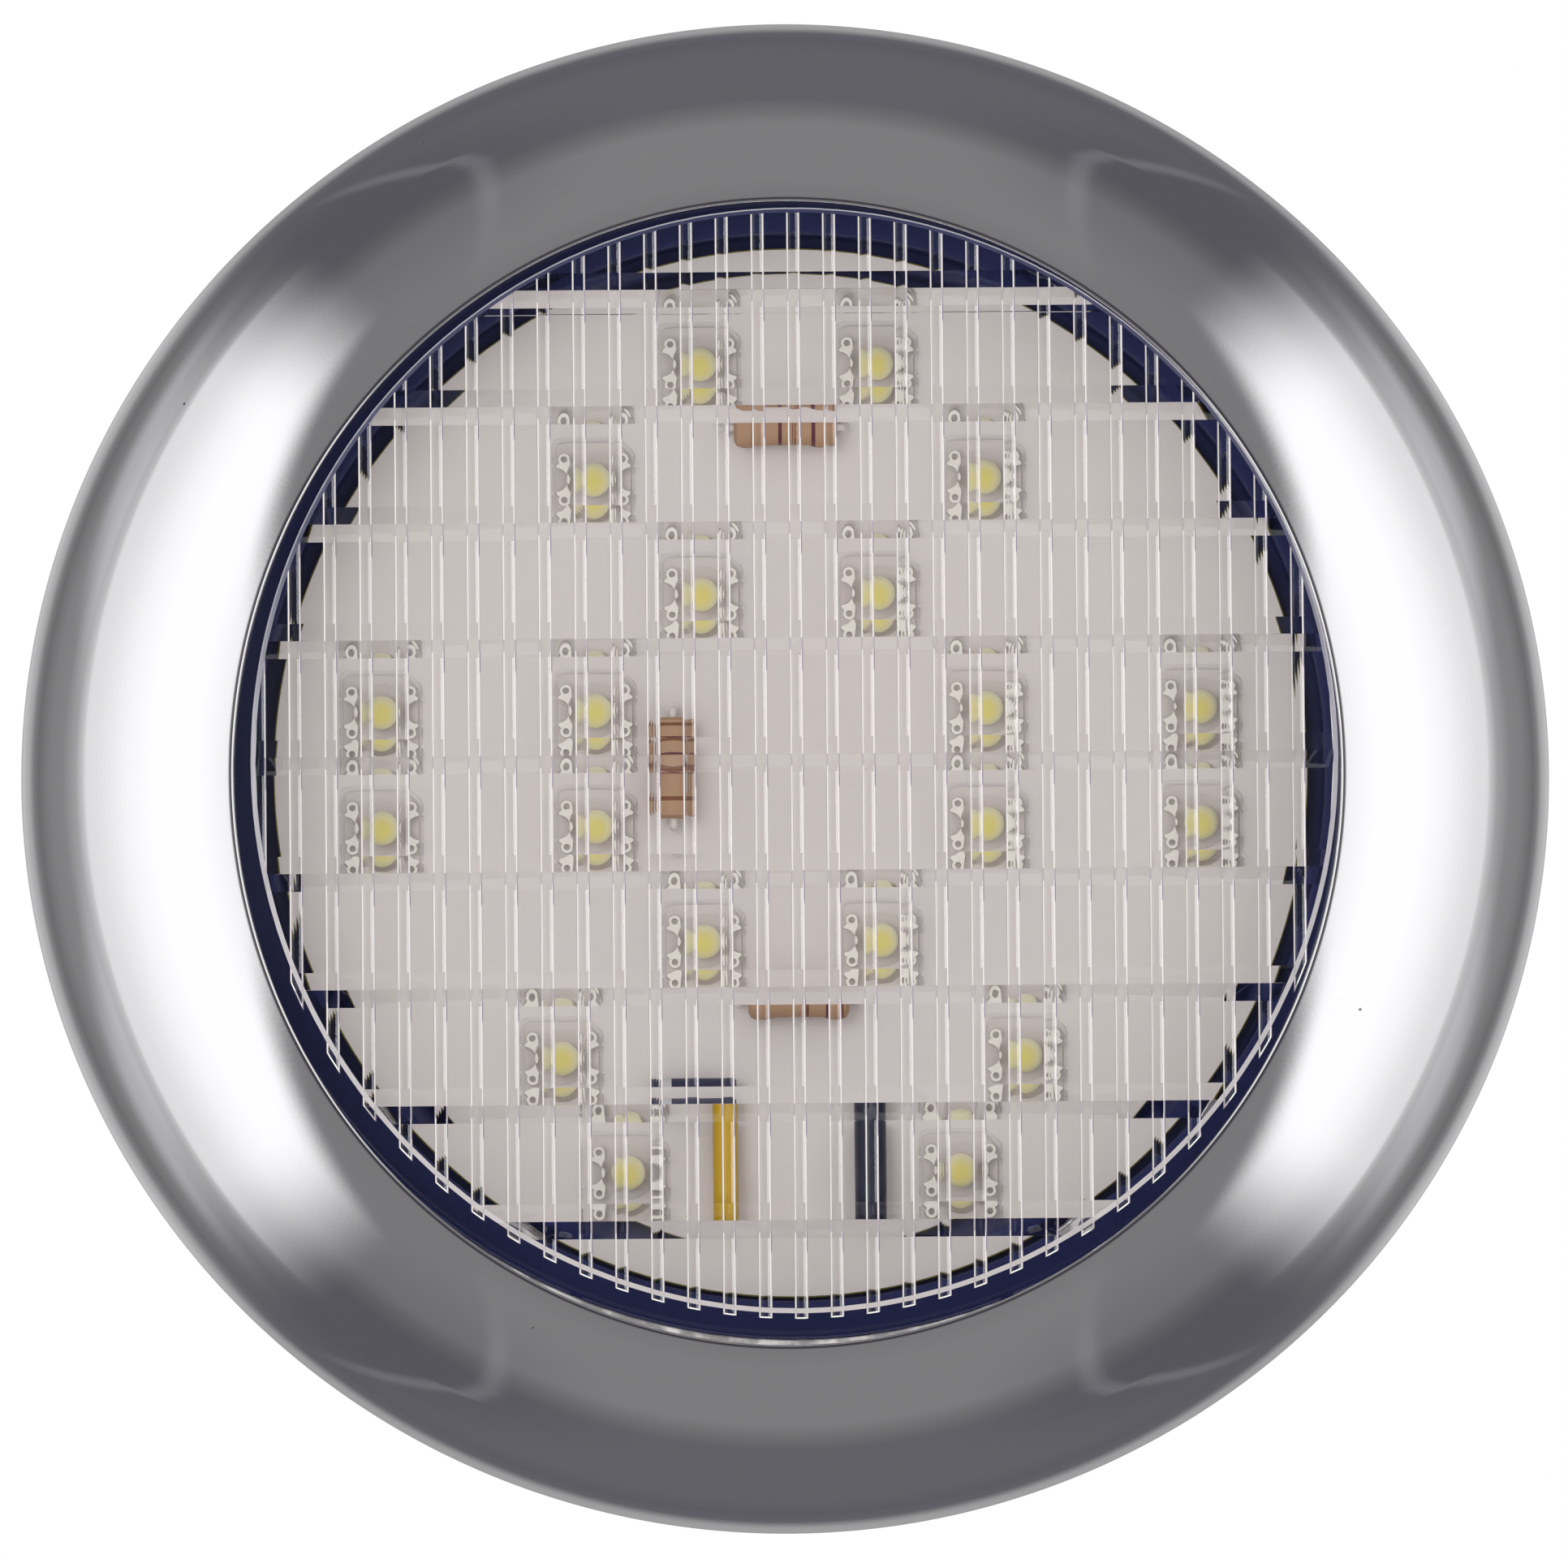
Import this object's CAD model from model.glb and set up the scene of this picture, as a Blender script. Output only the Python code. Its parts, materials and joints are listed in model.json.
import json
import math

import bmesh
import bpy
from mathutils import Matrix, Vector


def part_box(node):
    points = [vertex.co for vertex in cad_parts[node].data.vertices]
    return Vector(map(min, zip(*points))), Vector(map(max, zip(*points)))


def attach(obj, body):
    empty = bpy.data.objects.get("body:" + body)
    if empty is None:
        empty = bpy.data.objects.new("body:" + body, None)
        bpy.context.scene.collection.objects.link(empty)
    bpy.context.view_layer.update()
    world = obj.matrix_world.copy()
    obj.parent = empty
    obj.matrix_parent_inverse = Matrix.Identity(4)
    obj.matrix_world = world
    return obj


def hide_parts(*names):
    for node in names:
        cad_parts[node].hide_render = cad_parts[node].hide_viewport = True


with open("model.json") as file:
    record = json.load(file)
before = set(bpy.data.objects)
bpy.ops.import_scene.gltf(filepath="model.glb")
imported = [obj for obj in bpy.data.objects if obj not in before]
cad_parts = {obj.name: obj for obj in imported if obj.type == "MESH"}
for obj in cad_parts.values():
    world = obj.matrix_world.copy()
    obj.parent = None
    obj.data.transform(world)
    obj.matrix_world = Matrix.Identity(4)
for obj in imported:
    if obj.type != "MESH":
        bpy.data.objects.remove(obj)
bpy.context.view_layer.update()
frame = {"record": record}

MM = 0.001
RIM_SIDES = 256  # facets round the large rings

# ---- places and sizes taken from the frame ----


def centre(node):
    low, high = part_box(node)
    return (low + high) / 2


def half_width(node):
    low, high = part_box(node)
    return (high.x - low.x) / 2 / MM


def half_height(node):
    low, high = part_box(node)
    return (high.z - low.z) / 2 / MM


PANEL_Y = next(m["pos_m"][1] for m in frame["record"]["mounts"] if m["name"] == "panel_seat")


def axis_at(node):
    """The point where the node's own axis crosses the panel's front face, in metres."""
    middle = centre(node)
    return Vector((middle.x, PANEL_Y, middle.z))


def depths(node):
    """How far in front of and behind the panel's face a node reaches, in millimetres."""
    low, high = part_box(node)
    return (low.y - PANEL_Y) / MM, (high.y - PANEL_Y) / MM


RING_AXIS = axis_at("trim_ring")
LAMP_AXIS = axis_at("housing")
LENS_FRONT, SEAM = depths("lens")
HOUSING_MOUTH = depths("housing")[1]
BOARD_FRONT, BOARD_BACK = depths("circuit_board")
FLANGE = half_width("lens")


def from_lamp_axis(node):
    """A node's middle, right and up of the lamp's axis, in millimetres."""
    offset = (centre(node) - LAMP_AXIS) / MM
    return offset.x, offset.z


# ---- the lens's moulded inner face, also used by its material ----

LENS_RADIUS = 52.6
LENS_RIM_DEPTH = -11.4
LENS_EDGE_ROUND = 0.9
LENS_SHOULDER = -4.8
PLATE = -9.2  # inner face of the lens, between the flutes
CAVITY_X, CAVITY_Z = 0.2, 0.37  # the lens's inner wall is slightly off its axis
CAVITY_AXIS = LAMP_AXIS + Vector((CAVITY_X, 0, CAVITY_Z)) * MM
CAVITY = 50.5  # half height of the inner wall
CAVITY_OVAL = 0.983  # its width over its height
RIM_BAND = 0.45  # width of the rounded corner where the inner face meets the wall
RIM_RISE = 0.35
NUB = 0.5  # how far each flute runs on into the lower half of the wall
NUB_CAP = 0.13
NUB_DEPTH = -7.8
LAST_NUB = 47.0  # flutes further out than this stop at the wall
FLUTE = {
    "pitch": 3.27,
    "shift": 0.22,
    "half": 0.61,
    "side": 0.16,
    "height": 0.4,
    "crown": 0.03,
    "each_way": 15,
}
BAND = {"pitch": 10.63, "shift": 0.5, "lower": 1.6, "lower_fall": 0.53, "upper": 1.6, "upper_fall": 0.96}
MOULD_LINE = {"z": 40.8, "half": 0.06, "depth": 0.03}

# ---- mesh helpers ----


def build(name, points, faces, axis=LAMP_AXIS, sharp_angle=35, materials=None):
    """A mesh object from points (x, depth, z) in millimetres about an axis, with normals facing out."""
    mesh = bpy.data.meshes.new(name)
    mesh.from_pydata([axis + Vector(p) * MM for p in points], [], faces)
    bm = bmesh.new()
    bm.from_mesh(mesh)
    bmesh.ops.remove_doubles(bm, verts=bm.verts, dist=1e-7)
    bmesh.ops.dissolve_degenerate(bm, edges=bm.edges, dist=1e-8)
    bmesh.ops.recalc_face_normals(bm, faces=bm.faces)
    bm.to_mesh(mesh)
    bm.free()
    mesh.shade_smooth()
    mesh.set_sharp_from_angle(angle=math.radians(sharp_angle))
    piece = bpy.data.objects.new(name, mesh)
    bpy.context.scene.collection.objects.link(piece)
    for material in materials or []:
        mesh.materials.append(material)
    return piece


def tilt_arc(centre_r, centre_y, radius, start, end, steps):
    """Points (radius, depth) on an arc; angles are the tilt away from the lamp's face, in degrees."""
    points = []
    for i in range(steps + 1):
        tilt = math.radians(start + (end - start) * i / steps)
        points.append((centre_r + radius * math.sin(tilt), centre_y - radius * math.cos(tilt)))
    return points


def fillet(corner, before, after, radius, steps=5):
    """Rounds the corner of an outline that comes from one point and leaves towards another."""
    corner, before, after = Vector(corner), Vector(before), Vector(after)
    start = corner + (before - corner).normalized() * radius
    end = corner + (after - corner).normalized() * radius
    points = []
    for i in range(steps + 1):
        t = i / steps
        points.append(tuple(start * (1 - t) ** 2 + corner * 2 * t * (1 - t) + end * t * t))
    return points


def rounded(outline, radius, steps=4, closed=True):
    """An outline with its corners rounded, each by at most a third of its shorter side."""
    points = []
    count = len(outline)
    for i, corner in enumerate(outline):
        if not closed and i in (0, count - 1):
            points.append(corner)
            continue
        before, after = outline[i - 1], outline[(i + 1) % count]
        room = min(math.dist(before, corner), math.dist(corner, after)) / 3
        points += fillet(corner, before, after, min(radius, room), steps)
    return points


def revolve(outline, sides=RIM_SIDES, closed=True):
    """Points and faces of an outline of (radius, depth) turned about the axis.

    An open outline starts and ends on the axis.
    """
    points = []
    for i in range(sides):
        angle = 2 * math.pi * i / sides
        for r, y in outline:
            points.append((r * math.cos(angle), y, r * math.sin(angle)))
    count = len(outline)
    faces = []
    for i in range(sides):
        here, there = i * count, (i + 1) % sides * count
        for j in range(count if closed else count - 1):
            k = (j + 1) % count
            faces.append((here + j, here + k, there + k, there + j))
    return points, faces


def loft(loops):
    """Points and faces that join loops of equal length, in order, with flat caps at the ends."""
    count = len(loops[0])
    points = [p for loop in loops for p in loop]
    faces = []
    for i in range(len(loops) - 1):
        for j in range(count):
            k = (j + 1) % count
            faces.append((i * count + j, i * count + k, (i + 1) * count + k, (i + 1) * count + j))
    last = (len(loops) - 1) * count
    faces.append(tuple(range(count)))
    faces.append(tuple(range(last, last + count)))
    return points, faces


def sweep(path, radius, sides=20):
    """Loops of a round wire along a path of (x, depth, z) points."""
    path = [Vector(p) for p in path]
    ahead = path[1:] + path[-1:]
    behind = path[:1] + path[:-1]
    tangents = [(b - a).normalized() for a, b in zip(behind, ahead)]
    side = tangents[0].orthogonal().normalized()
    loops = []
    for place, tangent in zip(path, tangents):
        side = (side - tangent * side.dot(tangent)).normalized()
        other = tangent.cross(side)
        loop = []
        for i in range(sides):
            angle = 2 * math.pi * i / sides
            loop.append(tuple(place + side * (radius * math.cos(angle)) + other * (radius * math.sin(angle))))
        loops.append(loop)
    return loops


def smooth_path(knots, steps=10):
    """A Catmull-Rom curve through the knots."""
    knots = [Vector(k) for k in knots]
    path = []
    for i in range(len(knots) - 1):
        a = knots[max(i - 1, 0)]
        b, c = knots[i], knots[i + 1]
        d = knots[min(i + 2, len(knots) - 1)]
        for j in range(steps):
            t = j / steps
            square = (2 * a - 5 * b + 4 * c - d) * t * t
            cube = (3 * b - a - 3 * c + d) * t**3
            path.append(0.5 * (2 * b + (c - a) * t + square + cube))
    path.append(knots[-1])
    return path


def merge(*parts):
    """Several (points, faces) pairs as one."""
    points, faces = [], []
    for part_points, part_faces in parts:
        start = len(points)
        points += part_points
        faces += [tuple(start + i for i in face) for face in part_faces]
    return points, faces


def moved(part, x=0.0, y=0.0, z=0.0):
    points, faces = part
    return [(px + x, py + y, pz + z) for px, py, pz in points], faces


def rounded_rectangle(width, height, corner, y, steps=8):
    """A loop of points at one depth."""
    loop = []
    middles = [(1, 1, 0), (-1, 1, 90), (-1, -1, 180), (1, -1, 270)]
    for sx, sz, start in middles:
        for i in range(steps + 1):
            angle = math.radians(start + 90 * i / steps)
            x = sx * (width / 2 - corner) + corner * math.cos(angle)
            z = sz * (height / 2 - corner) + corner * math.sin(angle)
            loop.append((x, y, z))
    return loop


def boolean(piece, tool, operation):
    """Joins or cuts piece by tool, which is then deleted."""
    modifier = piece.modifiers.new("cut", "BOOLEAN")
    modifier.operation = operation
    modifier.solver = "EXACT"
    modifier.object = tool
    bpy.context.view_layer.objects.active = piece
    bpy.ops.object.modifier_apply(modifier="cut")
    bpy.data.objects.remove(tool)
    piece.data.set_sharp_from_angle(angle=math.radians(35))


def rod(radius, start, end, sides):
    """A plain cylinder on the axis, between two depths."""
    return revolve([(0.0, start), (radius, start), (radius, end), (0.0, end)], sides, closed=False)


def drill(piece, hole, x=0.0, z=0.0):
    """Cuts a hole's shape out of a piece, at a place right and up of the lamp's axis."""
    boolean(piece, build("drill", *moved(hole, x=x, z=z)), "DIFFERENCE")


def ready(piece, body, slot, *nodes):
    """Puts a finished piece on its body, in place of CAD nodes."""
    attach(piece, body)
    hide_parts(*nodes)


# ---- shader helpers ----


def srgb(red, green, blue):
    """Linear colour from 0-255 screen values."""
    out = []
    for value in (red, green, blue):
        v = value / 255
        out.append(v / 12.92 if v <= 0.04045 else ((v + 0.055) / 1.055) ** 2.4)
    return (*out, 1.0)


class Graph:
    """Short forms for building a node tree. Kinds of node are given without their common first word."""

    def __init__(self, tree):
        self.tree = tree
        self.tree.nodes.clear()

    def add(self, kind, inputs=None, **settings):
        node = self.tree.nodes.new("ShaderNode" + kind)
        for key, value in settings.items():
            setattr(node, key, value)
        for key, value in (inputs or {}).items():
            self.feed(node.inputs[key], value)
        return node

    def feed(self, socket, value):
        if isinstance(value, bpy.types.NodeSocket):
            self.tree.links.new(value, socket)
        else:
            socket.default_value = value

    def math(self, operation, a, b=0.0, c=0.0, clamp=False):
        node = self.add("Math", {0: a, 1: b, 2: c}, operation=operation, use_clamp=clamp)
        return node.outputs[0]

    def times(self, a, b):
        return self.math("MULTIPLY", a, b)

    def minus(self, a, b):
        return self.math("SUBTRACT", a, b)

    def ramp(self, factor, stops):
        """stops are (position, colour) pairs."""
        node = self.add("ValToRGB", {0: factor})
        ramp = node.color_ramp
        while len(ramp.elements) < len(stops):
            ramp.elements.new(0.5)
        for element, (position, colour) in zip(ramp.elements, stops):
            element.position = position
            element.color = colour
        return node.outputs[0]

    def smooth(self, value, low, high):
        """0 below low, 1 above high, and a smooth step between."""
        node = self.add("MapRange", {0: value, 1: low, 2: high}, interpolation_type="SMOOTHSTEP")
        return node.outputs[0]

    def mix(self, factor, a, b):
        node = self.add("Mix", data_type="RGBA")
        self.feed(node.inputs[0], factor)
        self.feed(node.inputs[6], a)
        self.feed(node.inputs[7], b)
        return node.outputs[2]

    def mix_shader(self, factor, a, b):
        return self.add("MixShader", {0: factor, 1: a, 2: b}).outputs[0]

    def noise(self, scale, detail=3.0, vector=None):
        place = self.place() if vector is None else vector
        return self.add("TexNoise", {"Scale": scale, "Detail": detail, "Vector": place}).outputs[0]

    def place(self, scale=(1, 1, 1)):
        """Object coordinates in metres, stretched if asked."""
        here = self.add("TexCoord").outputs["Object"]
        if scale == (1, 1, 1):
            return here
        return self.add("Mapping", {0: here, 3: scale}).outputs[0]

    def bump(self, height, strength, distance):
        return self.add("Bump", {"Height": height, "Strength": strength, "Distance": distance}).outputs[0]

    def split(self, vector):
        return self.add("SeparateXYZ", {0: vector}).outputs

    def length(self, vector):
        return self.add("VectorMath", {0: vector}, operation="LENGTH").outputs["Value"]

    def glass(self, index, **more):
        shared = {"Color": CLEAR_TINT, "Roughness": 0.0, "IOR": index}
        return self.add("BsdfGlass", {**shared, **more}).outputs[0]

    def glowing(self, colour, shade, strength):
        """A matt colour, darkened by a share, that also shines a little by itself."""
        matt = self.add("BsdfDiffuse", {"Color": self.mix(shade, colour, srgb(0, 0, 0))})
        glow = self.add("Emission", {"Color": colour, "Strength": strength})
        return self.add("AddShader", {0: matt.outputs[0], 1: glow.outputs[0]}).outputs[0]

    def surface(self, shader):
        self.add("OutputMaterial", {0: shader})

    def principled(self, inputs):
        self.surface(self.add("BsdfPrincipled", inputs).outputs[0])


def material(name):
    made = bpy.data.materials.new(name)
    made.use_nodes = True
    return made, Graph(made.node_tree)


def plain_solid(name, colour, roughness, grain_scale, grain_depth, variation=0.08, specular=0.5):
    """A solid material: its colour drifts a little, and a fine grain breaks up its surface."""
    made, g = material(name)
    drift = g.noise(90.0, 4.0)
    grain = g.noise(grain_scale, 2.0)
    darker = tuple(c * (1 - variation) for c in colour[:3]) + (1.0,)
    lighter = tuple(min(1.0, c * (1 + variation)) for c in colour[:3]) + (1.0,)
    base = g.mix(drift, darker, lighter)
    rough = g.math("MULTIPLY_ADD", drift, 0.12, roughness - 0.06)
    g.principled({
        "Base Color": base,
        "Roughness": rough,
        "Specular IOR Level": specular,
        "Normal": g.bump(grain, 0.6, grain_depth * MM),
    })
    return made


def see_through(g, shader):
    """Lets shadow rays and diffuse bounces through, so that what is behind clear plastic is lit."""
    rays = g.add("LightPath")
    passing = g.math("MAXIMUM", rays.outputs["Is Shadow Ray"], rays.outputs["Is Diffuse Ray"])
    clear = g.add("BsdfTransparent", {0: (1, 1, 1, 1)})
    return g.mix_shader(passing, shader, clear.outputs[0])


def satin_chrome():
    made, g = material("satin_chrome")
    smudge = g.noise(28.0, 5.0)
    grain = g.noise(2600.0, 1.0)
    specks = g.add("TexVoronoi", {"Vector": g.place(), "Scale": 95.0}).outputs["Distance"]
    pit = g.smooth(specks, 0.018, 0.008)
    rough = g.math("MULTIPLY_ADD", smudge, 0.02, 0.045)
    base = g.mix(pit, srgb(254, 254, 255), srgb(130, 128, 126))
    g.principled({
        "Base Color": base,
        "Metallic": 1.0,
        "Roughness": rough,
        "Normal": g.bump(grain, 0.25, 0.002 * MM),
    })
    return made


def clear_plastic(name, index):
    made, g = material(name)
    wave = g.noise(70.0, 2.0)
    g.surface(see_through(g, g.glass(index, Normal=g.bump(wave, 0.3, RIPPLE * MM))))
    return made


def flute_edge():
    """The steep sides of the lens's flutes: fine white lines with a dark or violet fringe outside them."""
    made, g = material("flute_edge")
    here = g.split(g.place())
    right = g.math("MULTIPLY_ADD", here[0], 1 / MM, -CAVITY_AXIS.x / MM)
    up = g.math("MULTIPLY_ADD", here[2], 1 / MM, -CAVITY_AXIS.z / MM)
    pitches = g.math("DIVIDE", g.minus(right, FLUTE["shift"]), FLUTE["pitch"])
    from_flute = g.times(g.minus(pitches, g.math("ROUND", pitches)), FLUTE["pitch"])
    past_top = g.minus(g.math("ABSOLUTE", from_flute), FLUTE["half"] - FLUTE["side"])
    across = g.math("DIVIDE", past_top, FLUTE["side"], clamp=True)
    bands = g.math("DIVIDE", g.minus(up, BAND["shift"]), BAND["pitch"])
    below_step = g.times(g.minus(1.0, g.math("FRACT", bands)), BAND["pitch"])

    white = srgb(255, 252, 247)
    left = g.ramp(across, [(0.0, white), (0.7, srgb(250, 244, 236)), (0.82, srgb(152, 144, 156)),
                           (1.0, srgb(170, 162, 170))])
    plain = g.ramp(across, [(0.0, white), (0.5, srgb(248, 243, 240)), (0.68, srgb(204, 196, 200)),
                            (1.0, srgb(192, 184, 188))])
    violet = g.ramp(across, [(0.0, white), (0.4, srgb(240, 233, 238)), (0.6, srgb(134, 124, 146)),
                             (1.0, srgb(146, 136, 156))])
    side = g.mix(g.smooth(below_step, 3.1, 2.8), plain, violet)
    line = g.mix(g.math("GREATER_THAN", from_flute, 0.0), left, side)
    line = g.mix(g.times(g.smooth(below_step, 1.2, 1.0), 0.8), line, srgb(184, 176, 182))

    stretched = g.add("CombineXYZ", {0: g.math("DIVIDE", right, CAVITY_OVAL), 1: up, 2: 0.0})
    distance = g.length(stretched.outputs[0])
    from_band = g.math("ABSOLUTE", g.minus(distance, CAVITY - RIM_BAND / 2))
    height = g.math("MULTIPLY_ADD", up, 0.5 / CAVITY, 0.5)
    rim = g.ramp(height, [(0.0, srgb(214, 208, 206)), (0.35, srgb(214, 210, 212)),
                          (0.55, srgb(190, 188, 198)), (0.7, srgb(110, 110, 134)), (1.0, srgb(70, 72, 104))])
    outermost = g.smooth(distance, CAVITY - RIM_ARC, CAVITY - RIM_ARC + RIM_ARC_FADE)
    corner = g.times(outermost, g.smooth(height, 0.45, 0.6))
    rim = g.mix(corner, rim, srgb(196, 194, 200))
    line = g.mix(g.smooth(from_band, RIM_BAND / 2 + 0.02, RIM_BAND / 2), line, rim)
    g.surface(see_through(g, g.glowing(line, 0.45, 0.6)))
    return made


def lens_flange():
    """The lens's flange beside the trim ring: clear, but frosted and streaked low down."""
    made, g = material("lens_flange")
    height = g.split(g.place())[2]
    top, bottom = (LAMP_AXIS.z - share * LENS_RADIUS * MM for share in FROST_SPAN)
    lit = g.smooth(height, top, bottom)
    streaks = g.smooth(g.noise(420.0, 2.0), 0.42, 0.66)
    colour = g.mix(streaks, srgb(140, 138, 138), srgb(214, 210, 208))
    g.surface(see_through(g, g.mix_shader(lit, g.glass(LENS_INDEX), g.glowing(colour, 0.5, 0.7))))
    return made


def board_white():
    """Pale solder mask, a little lighter towards the board's edge, with faint track edges showing through."""
    made, g = material("board_white")
    drift = g.smooth(g.noise(30.0, 3.0), 0.35, 0.65)
    base = g.mix(drift, srgb(209, 201, 199), srgb(212, 203, 199))
    away = g.length(g.place((1, 0, 1)))
    base = g.mix(g.smooth(away, 12 * MM, 46 * MM), base, srgb(220, 212, 208))
    flat = {"Vector": g.place((1, 0, 1)), "Scale": 60.0}
    tracks = g.add("TexVoronoi", flat, distance="CHEBYCHEV")
    step = g.smooth(tracks.outputs["Distance"], 0.45, 0.47)
    base = g.mix(g.times(step, 0.03), base, srgb(190, 182, 178))
    g.principled({"Base Color": base, "Roughness": 0.5, "Normal": g.bump(step, 0.3, 0.02 * MM)})
    return made


def turned_metal(name, colour, roughness):
    """Plated metal with fine lines round it and slightly duller patches."""
    made, g = material(name)
    patches = g.noise(180.0, 3.0)
    lines = g.noise(900.0, 2.0, vector=g.place((0.15, 6, 0.15)))
    dull = tuple(c * 0.8 for c in colour[:3]) + (1.0,)
    g.principled({
        "Base Color": g.mix(patches, colour, dull),
        "Metallic": 1.0,
        "Roughness": g.math("MULTIPLY_ADD", patches, 0.15, roughness),
        "Normal": g.bump(lines, 0.3, 0.01 * MM),
    })
    return made


def phosphor_yellow():
    """Yellow low in the middle and paler towards its rim, by distance from the emitter's own axis."""
    made, g = material("phosphor")
    here = g.split(g.place())
    raised = g.math("MULTIPLY_ADD", here[2], 0.9, 0.15 * MM)
    middle = g.add("CombineXYZ", {0: here[0], 1: 0.0, 2: raised})
    away = g.length(middle.outputs[0])
    rim = g.smooth(away, 0.35 * MM, (PHOSPHOR_RADIUS + 0.1) * MM)
    grain = g.mix(g.noise(900.0, 3.0), srgb(218, 205, 120), srgb(212, 199, 126))
    base = g.mix(rim, grain, srgb(210, 204, 176))
    g.principled({"Base Color": base, "Roughness": 0.8, "Specular IOR Level": 0.1})
    return made


PHOSPHOR_RADIUS = 1.4
CLEAR_TINT = (0.985, 0.985, 0.99, 1)
LENS_INDEX = 1.585  # refractive index of the lens's plastic
EMITTER_INDEX = 1.12  # lower than real, so that the emitters' insides show without strong bending
RIPPLE = 0.002  # depth of the waves in clear plastic
RIM_ARC, RIM_ARC_FADE = 0.15, 0.04  # width of the pale arc inside the wall, and of its soft edge
FROST_SPAN = 0.7, 0.86  # how far down the flange frost starts and is full, in lens radii
CHROME = satin_chrome()
LENS_CLEAR = clear_plastic("lens_clear", LENS_INDEX)
LENS_EDGE = flute_edge()
LENS_FLANGE = lens_flange()
LED_CLEAR = clear_plastic("led_clear", EMITTER_INDEX)
HOUSING_DARK = plain_solid("housing_dark", srgb(30, 35, 80), 0.6, 1500.0, 0.02, specular=0.2)
HOUSING_BLACK = plain_solid(
    "housing_black", srgb(36, 37, 43), 0.5, 1100.0, 0.03, variation=0.15, specular=0.35
)
BOARD = board_white()
BOARD_EDGE = plain_solid("board_edge", srgb(150, 140, 62), 0.6, 900.0, 0.01)
SEALANT = plain_solid("sealant_white", srgb(226, 224, 216), 0.45, 300.0, 0.05)
RUBBER = plain_solid("black_rubber", srgb(34, 34, 37), 0.7, 1100.0, 0.03, variation=0.2, specular=0.35)
PLUG_RUBBER = plain_solid("plug_rubber", srgb(40, 40, 43), 0.55, 800.0, 0.02, variation=0.2, specular=0.4)
LEAD_FRAME = plain_solid("lead_frame", srgb(228, 221, 212), 0.5, 1600.0, 0.01, variation=0.04, specular=0.3)
LED_FLOOR = plain_solid("led_floor", srgb(208, 199, 194), 0.6, 1200.0, 0.01, variation=0.04, specular=0.1)
LED_SHADE = plain_solid("led_shade", srgb(176, 168, 162), 0.6, 1200.0, 0.01, variation=0.04, specular=0.1)
PHOSPHOR = phosphor_yellow()
TAN = plain_solid("resistor_tan", srgb(172, 138, 110), 0.6, 900.0, 0.03, specular=0.2)
MAROON = plain_solid("band_maroon", srgb(92, 36, 50), 0.5, 900.0, 0.02)
BROWN = plain_solid("band_brown", srgb(120, 74, 44), 0.5, 900.0, 0.02)
DIODE_BLACK = plain_solid("diode_black", srgb(36, 40, 72), 0.5, 700.0, 0.02)
DIODE_BAND = plain_solid("diode_band", srgb(190, 190, 192), 0.4, 700.0, 0.01)
SOLDER = plain_solid("solder", srgb(216, 208, 204), 0.7, 900.0, 0.02, variation=0.04, specular=0.1)
YELLOW = plain_solid("wire_yellow", srgb(196, 156, 24), 0.4, 500.0, 0.02)
BLACK = plain_solid("wire_black", srgb(30, 33, 58), 0.42, 500.0, 0.02, variation=0.15)
HARNESS_BLACK = plain_solid("harness_black", srgb(34, 34, 38), 0.42, 500.0, 0.02, variation=0.15)
WHITE = plain_solid("wire_white", srgb(226, 223, 216), 0.42, 500.0, 0.02)
BRASS = turned_metal("plated_brass", srgb(206, 176, 108), 0.24)
COPPER = turned_metal("bare_copper", srgb(196, 122, 86), 0.26)

# ---- trim ring ----

RING_FRONT, RING_EDGE = depths("trim_ring")
RING_RADIUS = half_width("trim_ring")
RING_HEIGHT = half_height("trim_ring")
RING = {"radius": 69.85, "opening": 51.9, "lip": 0.22, "lip_depth": -12.0, "wall": 1.6}
OPENING_WIDTH, OPENING_HEIGHT = 50.45, 52.15  # half sizes of the ring's slightly oval opening
FACE = {"sweep": 27.5, "lip_tilt": 6.0, "end": 32.0}
ROLL = {"sweep": 14.2, "start": 36.0, "end": 78.0}


def ring_outline():
    """The ring's section: fine lip, broad crowned face, outer roll and hem."""
    opening, lip, wall, edge = RING["opening"], RING["lip"], RING["wall"], RING["radius"]
    start = math.radians(FACE["lip_tilt"])
    face_r = opening + 0.6 - FACE["sweep"] * math.sin(start)
    face_y = RING_FRONT + FACE["sweep"] * math.cos(start)
    first = math.degrees(math.asin((opening + lip - face_r) / FACE["sweep"]))
    face = tilt_arc(face_r, face_y, FACE["sweep"], first, FACE["end"], 48)
    crown_r, crown_y = face[-1]
    roll_r = crown_r - ROLL["sweep"] * math.sin(math.radians(ROLL["start"]))
    roll_y = crown_y + ROLL["sweep"] * math.cos(math.radians(ROLL["start"]))
    roll = tilt_arc(roll_r, roll_y, ROLL["sweep"], ROLL["start"], ROLL["end"], 40)
    lip_corner = fillet((opening, face[0][1]), (opening, RING["lip_depth"]), face[0], lip, 6)
    hem = [
        (edge - 0.03, RING_EDGE - 0.36),
        (edge, RING_EDGE - 0.16),
        (edge - 0.12, RING_EDGE),
        (edge - wall, RING_EDGE),
    ]
    inner_roll = tilt_arc(roll_r, roll_y, ROLL["sweep"] - wall, ROLL["end"], ROLL["start"] + 2, 18)
    inner_sweep = FACE["sweep"] - wall
    inner_start = math.degrees(math.asin((opening + wall - face_r) / inner_sweep))
    inner_face = tilt_arc(face_r, face_y, inner_sweep, FACE["end"] - 2, inner_start, 18)
    foot = [(opening + wall - 0.3, RING["lip_depth"] + 0.02), (opening + 0.15, RING["lip_depth"])]
    return lip_corner + face[1:] + roll[1:] + hem + inner_roll + inner_face + foot


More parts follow.
